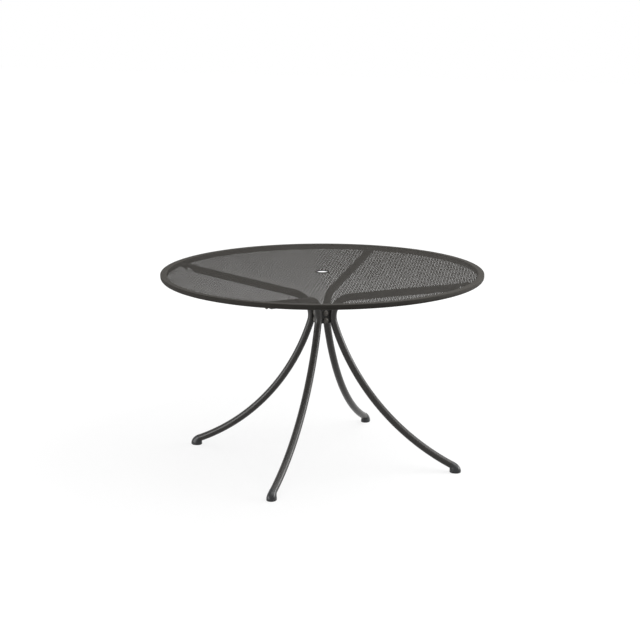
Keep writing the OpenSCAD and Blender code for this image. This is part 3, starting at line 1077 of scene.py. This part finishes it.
@dataclass
class WaistHub:
    """The cast core between the tubes, its clamp plates with their bolts, and the pole's bush.

    Attributes:
        cast: finish of the core and the plates
        steel: finish of the bolts and washers
        nylon: finish of the bush
        leg: a leg, whose bend the plates are fluted by
        copies: the tree that repeats a fastener round the axis
        plate_d: distance of a plate's back and front from the axis
        plate_edge: radius of its edges
        plate_rows: stretches up a plate between its edges
        front_shares: where extra points lie on a front's half width
        flank_steps: stretches along a flute
        seat_gap: room between a plate and a tube
        bolt_pitch: distance between a plate's two bolts
        shank_depth: how far a bolt's shank goes in behind the plate's back
        washer_r: radius of a washer
        washer_t: its thickness
        head_r: radius of a bolt's domed head
        head_h: height of the head
        dome_share: the dome's share of that height
        head_edge: bevel under the head
        dome_steps: stretches over the dome
        bush_wall: wall of the bush
        bush_edge: bevel at its lower end
        collar_t: thickness of its collar
        collar_edge: radius of the collar's edges
        collar_under: how far the collar's lower face is drawn in
        bush_steps: faces round the bush
    """

    cast: Material
    steel: Material
    nylon: Material
    leg: Leg
    copies: NodeTree
    plate_d: Flat = (27.15, 31.15)
    plate_edge: float = 1.2
    plate_rows: int = 20
    front_shares: Flat = (0.66, 0.33)
    flank_steps: int = 4
    seat_gap: float = 0.15
    bolt_pitch: float = 28.0
    shank_depth: float = 2.0
    washer_r: float = 11.0
    washer_t: float = 1.6
    head_r: float = 10.5
    head_h: float = 5.0
    dome_share: float = 0.75
    head_edge: float = 0.3
    dome_steps: int = 12
    bush_wall: float = 1.6
    bush_edge: float = 0.4
    collar_t: float = 2.0
    collar_edge: float = 0.6
    collar_under: float = 0.2
    bush_steps: int = 96

    def flute(self, d: float, z: float) -> float:
        """Finds where a tube bounds a clamp plate.

        Args:
            d: distance from the axis along the plate's diagonal
            z: height

        Returns:
            The half width that the plate has there
        """
        centre_r, centre_z = self.leg.bend_c
        low, high = 0.0, d
        for _ in range(HALVINGS):
            s = (low + high) / 2
            x, y = (d + s) / math.sqrt(2), (d - s) / math.sqrt(2)
            off = math.hypot(x - centre_r, z - centre_z) - self.leg.bend_r
            if math.hypot(off, y) > self.leg.tube_r + self.seat_gap:
                low = s
            else:
                high = s
        return low

    def plate_ring(self, z: float, inset: float) -> Ring:
        """Outlines a clamp plate at one height.

        Args:
            z: the height
            inset: how far the outline is drawn in there, for the rounded upper and lower edges

        Returns:
            The outline, with the plate facing +X
        """
        near, front, edge = self.plate_d[0], self.plate_d[1] - inset, self.plate_edge
        side = [(d, self.flute(d, z) - inset)
                for d in spread(near, front - edge, self.flank_steps)]
        side += corner((front - edge, side[-1][1] - edge), edge, 90, 0)[1:]
        side += [(front, side[-1][1] * share) for share in self.front_shares]
        mirrored = [(d, -s, z) for d, s in reversed(side)]
        return [(d, s, z) for d, s in side] + [(front, 0.0, z)] + mirrored

    def plates(self) -> None:
        """Lofts the four clamp plates, each fluted by the two tubes that it presses."""
        low, high = (point.z for point in box_mm("hub_core"))
        edge = self.plate_edge
        rounding = [(low + edge * (1 - math.cos(a)), edge * (1 - math.sin(a)))
                    for a in map(math.radians, spread(0, 90, 3))]
        rows = rounding + [(z, 0.0) for z in spread(low + edge, high - edge,
                                                    self.plate_rows)[1:-1]]
        rows += [(high + low - z, inset) for z, inset in reversed(rounding)]
        points, faces = loft([self.plate_ring(z, inset) for z, inset in rows])
        for quarter in Quarter:
            node = f"{quarter.name.lower()}_clamp"
            piece = mesh_piece(f"{node}_plate", turned(points, quarter.value), faces)
            dress(piece, self.cast, Slot.HUB, node)

    def outwards(self, profile: Sequence[Flat], closed: bool) -> Skin:
        """Turns a fastener's profile about a bolt axis, for both bolts of a plate facing +X.

        Args:
            profile: (radius, distance from the table's axis) points
            closed: whether the profile runs round a bore

        Returns:
            The points and faces of the pair
        """
        points, faces = lathe(profile, FASTENER_STEPS, closed)
        pair: list[Point] = []
        for side in (-1, 1):
            height = self.leg.waist_z + side * self.bolt_pitch / 2
            pair += [(z, x, y + height) for x, y, z in points]
        return pair, faces + [[i + len(points) for i in face] for face in faces]

    def bolts(self) -> None:
        """Makes one plate's domed bolts and washers and repeats them on all four."""
        behind, seat = self.plate_d[0] - self.shank_depth, self.plate_d[1]
        out = seat + self.washer_t
        rise = self.head_h * self.dome_share
        ball_r = (self.head_r ** 2 + rise ** 2) / (2 * rise)
        dome = [(ball_r * math.sin(turn), out + self.head_h - ball_r * (1 - math.cos(turn)))
                for turn in spread(math.asin(self.head_r / ball_r), 0, self.dome_steps)]
        bolt = [(0.0, behind), (SHANK_R, behind), (SHANK_R, out),
                (self.head_r - self.head_edge, out), (self.head_r, out + self.head_edge), *dome]
        washer = flat_ring(WASHER_HOLE_R, self.washer_r, seat, out, WASHER_BEVEL)
        for name, profile, closed, node in (
                ("domed_hub_bolts", bolt, False, "hub_bolts"),
                ("hub_bolt_washers", washer, True, "hub_washers")):
            piece = mesh_piece(name, *self.outwards(profile, closed))
            grow(piece, self.copies, {"Copies": len(Quarter), "Finish": self.steel,
                                      "First Turn": math.radians(Quarter.REAR_RIGHT.value)})
            dress(piece, self.steel, Slot.FASTENER, node)

    def bush(self) -> None:
        """Turns the bush that guides the pole, with its rounded collar."""
        low, high = box_mm("pole_bush")
        edge, collar_r = self.collar_edge, high.x
        collar_low = high.z - self.collar_t
        barrel = BORE_R + self.bush_wall
        profile = [(BORE_R, low.z), (barrel - self.bush_edge, low.z),
                   (barrel, low.z + self.bush_edge), (barrel, collar_low),
                   (collar_r - self.collar_under, collar_low),
                   *corner((collar_r - edge, collar_low + edge), edge, -40, 0),
                   *corner((collar_r - edge, high.z - edge), edge, 0, 90),
                   *corner((BORE_R + edge, high.z - edge), edge, 90, 180)]
        piece = mesh_piece("pole_bush_moulding", *lathe(profile, self.bush_steps, closed=True))
        dress(piece, self.nylon, Slot.PLASTIC, "pole_bush")

    def build(self) -> None:
        """Builds the hub, and coats its core."""
        coat_node("hub_core", self.cast)
        self.plates()
        self.bolts()
        self.bush()


@dataclass
class RimFixings:
    """Bolt, washer and cap nut at each lug under the rim.

    Attributes:
        steel: finish of all three
        copies: the tree that repeats a fastener round the axis
        fixing_r: distance of a fixing from the table's axis
        head_r: radius of the bolt's head
        head_edge: radius of the head's upper edge
        head_round: how far that edge is rounded, in degrees
        head_steps: stretches along it
        nut_flats: width of the nut across its flats
        nut_edge: bevel of the nut's upper corners
        nut_slope: height of the bevel where its dome begins
        dome_r: radius of the dome
        dome_lip: how far the hexagon stands out past the dome
    """

    steel: Material
    copies: NodeTree
    fixing_r: float = 565.0
    head_r: float = 7.0
    head_edge: float = 1.5
    head_round: float = 80.0
    head_steps: int = 5
    nut_flats: float = 13.0
    nut_edge: float = 0.6
    nut_slope: float = 0.8
    dome_r: float = 5.9
    dome_lip: float = 0.5

    def hexagon(self, z: float, reach: float) -> Ring:
        """Returns a six-sided outline, cut back to a circle where it goes past it.

        Args:
            z: height
            reach: radius of the circle that chamfers the six corners

        Returns:
            The outline with as many points as a circle
        """
        ring: Ring = []
        for turn in round_turns(FASTENER_STEPS):
            off = (turn + math.pi / 6) % (math.pi / 3) - math.pi / 6
            r = min(self.nut_flats / 2 / math.cos(off), reach)
            ring.append((r * math.cos(turn), r * math.sin(turn), z))
        return ring

    def bolt(self) -> list[Flat]:
        """Outlines the bolt, its head on the lug.

        Returns:
            The outline as (radius, height) points
        """
        low, high = (point.z for point in box_mm("rim_bolts"))
        lug_top, edge = box_mm("right_rim_lug")[1].z, self.head_edge
        return [(SHANK_R, low), (SHANK_R, lug_top), (self.head_r, lug_top),
                *corner((self.head_r - edge, high - edge), edge, 0, self.head_round,
                        self.head_steps)]

    def washer(self) -> list[Flat]:
        """Outlines the washer as (radius, height) points."""
        low, high = box_mm("rim_washers")
        return flat_ring(WASHER_HOLE_R, high.x - self.fixing_r, low.z, high.z, WASHER_BEVEL)

    def cap_nut(self) -> list[Ring]:
        """Outlines the cap nut, from its upper face down to its dome's pole.

        Returns:
            The outlines at each height
        """
        low, high = (point.z for point in box_mm("rim_cap_nuts"))
        widest, hex_low = self.nut_flats / 2 / math.cos(math.pi / 6), low + self.dome_r
        rings = [self.hexagon(high, widest - self.nut_edge),
                 self.hexagon(high - self.nut_edge, widest),
                 self.hexagon(hex_low + self.nut_slope, widest),
                 self.hexagon(hex_low, self.dome_r + self.dome_lip)]
        # The last circles lie closer, where the dome turns away fastest
        turns = map(math.radians, (0, 12, 24, 36, 48, 60, 72, 82, 88))
        return rings + [circle(self.dome_r * math.cos(turn),
                               hex_low - self.dome_r * math.sin(turn), FASTENER_STEPS)
                        for turn in turns]

    def build(self) -> None:
        """Makes one set and repeats it at the four arms."""
        for name, (points, faces), node in (
                ("rim_bolt_heads", lathe(self.bolt(), FASTENER_STEPS, closed=False),
                 "rim_bolts"),
                ("rim_bolt_washers", lathe(self.washer(), FASTENER_STEPS, closed=True),
                 "rim_washers"),
                ("rim_cap_nut_domes", loft(self.cap_nut()), "rim_cap_nuts")):
            piece = mesh_piece(name, [(x + self.fixing_r, y, z) for x, y, z in points], faces)
            grow(piece, self.copies, {"Copies": len(Side), "First Turn": 0.0,
                                      "Finish": self.steel})
            dress(piece, self.steel, Slot.FASTENER, node)


@dataclass(frozen=True)
class SoftLamp:
    """A large soft lamp that faces the table.

    Attributes:
        name: the lamp's name
        place: where it hangs, in metres
        size: its width and height in metres
        watts: its power
    """

    name: str
    place: Point
    size: Flat
    watts: float

    def hang(self, aim: Point) -> None:
        """Hangs the lamp so that it faces a point.

        Args:
            aim: the point, in metres
        """
        data = bpy.data.lights.new(self.name, "AREA")
        data.shape, data.energy = "RECTANGLE", self.watts
        data.size, data.size_y = self.size
        lamp = add_object(self.name, data)
        lamp.location = self.place
        facing = Vector(self.place) - Vector(aim)
        lamp.rotation_euler = facing.to_track_quat("Z", "Y").to_euler()
        lamp.visible_camera = False


@dataclass
class Studio:
    """Plain floor, white surround, soft lamps and the camera at the photograph's angle.

    Attributes:
        look_at: the point that the camera faces, in millimetres
        distance: how far the camera stands from it
        azimuth: the camera's way round the table, in degrees
        elevation: its angle above the horizon
        sensor: width of the camera's sensor
        lens: focal length
        shift_x: how far the frame is shifted to the side
        floor_half: half the floor's side, in metres
        floor_drop: how far the floor lies under the feet
        floor_grey: colour with which the floor lights the table from below
        floor_share: how much lamp light the floor shows to the eye, which draws the shadows
        floor_glow: how bright it looks by itself near the table, where 1 is white
        floor_white: distances in metres between which that glow rises to white
        world_strength: the surround's light on the table
        lamp_aim: the point that the lamps face, in metres
        lamps: the soft lamps
    """

    look_at: Point = (0.0, 0.0, 547.7)
    distance: float = 6047.0
    azimuth: float = 19.88
    elevation: float = 12.65
    sensor: float = 36.0
    lens: float = 89.4
    shift_x: float = -0.00358
    floor_half: float = 20.0
    floor_drop: float = 0.1
    floor_grey: str = "#a8a8a8"
    floor_share: float = 0.12
    floor_glow: float = 0.83
    floor_white: Flat = (1.0, 3.0)
    world_strength: float = 0.15
    lamp_aim: Point = (0.0, 0.0, 0.5)
    lamps: tuple[SoftLamp, ...] = (
        SoftLamp("lamp_above", (0.9, 0.3, 3.6), (4.5, 4.5), 265.0),
        SoftLamp("lamp_right", (2.98, 1.25, 1.3), (2.6, 1.4), 115.0),
        SoftLamp("lamp_left", (-2.4, -2.6, 0.7), (2.6, 1.3), 78.0))

    def camera(self) -> None:
        """Stands the camera where the photograph was taken from."""
        a, e = math.radians(self.azimuth), math.radians(self.elevation)
        back = Vector((math.sin(a) * math.cos(e), -math.cos(a) * math.cos(e), math.sin(e)))
        data = bpy.data.cameras.new("photo_view")
        data.sensor_width, data.lens, data.shift_x = self.sensor, self.lens, self.shift_x
        camera = add_object("photo_view", data)
        camera.location = (Vector(self.look_at) + back * self.distance) * MM
        camera.rotation_euler = back.to_track_quat("Z", "Y").to_euler()
        bpy.context.scene.camera = camera

    def seen(self, tree: NodeTree) -> NodeSocket:
        """Tells sight from light.

        Args:
            tree: the tree that asks

        Returns:
            An output of 1 for what the camera, a gloss or a glass sees, and of 0 for light
            that falls on the object
        """
        path = add_node(tree, "ShaderNodeLightPath").outputs
        sight = path["Is Camera Ray"]
        for ray in ("Is Glossy Ray", "Is Transmission Ray"):
            sight = add_node(tree, "ShaderNodeMath", {
                "operation": "MAXIMUM", 0: sight, 1: path[ray]}).outputs[0]
        return sight

    def floor(self) -> None:
        """Lays the pale floor, white to the eye, which keeps the feet's faint shadows."""
        material, tree = new_material("white_studio_floor")
        matt = add_node(tree, "ShaderNodeBsdfDiffuse", {"Color": linear(self.floor_grey)})
        faint = add_node(tree, "ShaderNodeBsdfDiffuse", {
            "Color": (self.floor_share,) * 3 + (1.0,)})
        place = add_node(tree, "ShaderNodeTexCoord").outputs["Object"]
        away = add_node(tree, "ShaderNodeVectorMath", {"operation": "LENGTH", 0: place})
        strength = add_node(tree, "ShaderNodeMapRange", {
            "Value": away.outputs["Value"], "From Min": self.floor_white[0],
            "From Max": self.floor_white[1], "To Min": self.floor_glow, "To Max": 1.0})
        glow = add_node(tree, "ShaderNodeEmission", {
            "Color": linear("#ffffff"), "Strength": strength})
        white = add_node(tree, "ShaderNodeAddShader", {0: faint, 1: glow})
        both = add_node(tree, "ShaderNodeMixShader", {0: self.seen(tree), 1: matt, 2: white})
        add_node(tree, "ShaderNodeOutputMaterial", {"Surface": both})
        mesh = bpy.data.meshes.new("studio_floor")
        h = self.floor_half
        mesh.from_pydata([(-h, -h, 0), (h, -h, 0), (h, h, 0), (-h, h, 0)], [], [(0, 1, 2, 3)])
        mesh.materials.append(material)
        floor = add_object("studio_floor", mesh)
        floor.location.z = -self.floor_drop * MM

    def world(self) -> None:
        """Surrounds the table with soft light that the eye sees as white."""
        world = bpy.data.worlds.new("white_surround")
        world.use_nodes = True
        tree = world.node_tree
        tree.nodes.clear()
        strength = add_node(tree, "ShaderNodeMapRange", {
            "Value": self.seen(tree), "To Min": self.world_strength, "To Max": 1.0})
        light = add_node(tree, "ShaderNodeBackground", {
            "Color": linear("#ffffff"), "Strength": strength})
        add_node(tree, "ShaderNodeOutputWorld", {"Surface": light})
        bpy.context.scene.world = world

    def build(self) -> None:
        """Builds the studio."""
        bpy.context.scene.view_settings.view_transform = "Standard"
        self.camera()
        self.floor()
        self.world()
        for lamp in self.lamps:
            lamp.hang(self.lamp_aim)


def main() -> None:
    """Builds the studio and every piece of the table."""
    Studio().build()
    tube_coat, rim_coat, mesh_coat = (finish.material()
                                      for finish in (TUBE_COAT, RIM_COAT, MESH_COAT))
    cast_coat, steel = CAST_COAT.material(), BLACK_STEEL_WITH_PAINTED_LIGHT.material()
    nylon, ring_nylon = FOOT_NYLON.material(), RING_NYLON.material()
    TableTop(rim_coat, mesh_coat, ring_nylon).build()
    legs = [Leg(side, tube_coat, nylon) for side in Side]
    for leg in legs:
        leg.build()
    copies = copies_tree()
    WaistHub(cast_coat, steel, nylon, legs[0], copies).build()
    RimFixings(steel, copies).build()


if __name__ == "__main__":
    main()
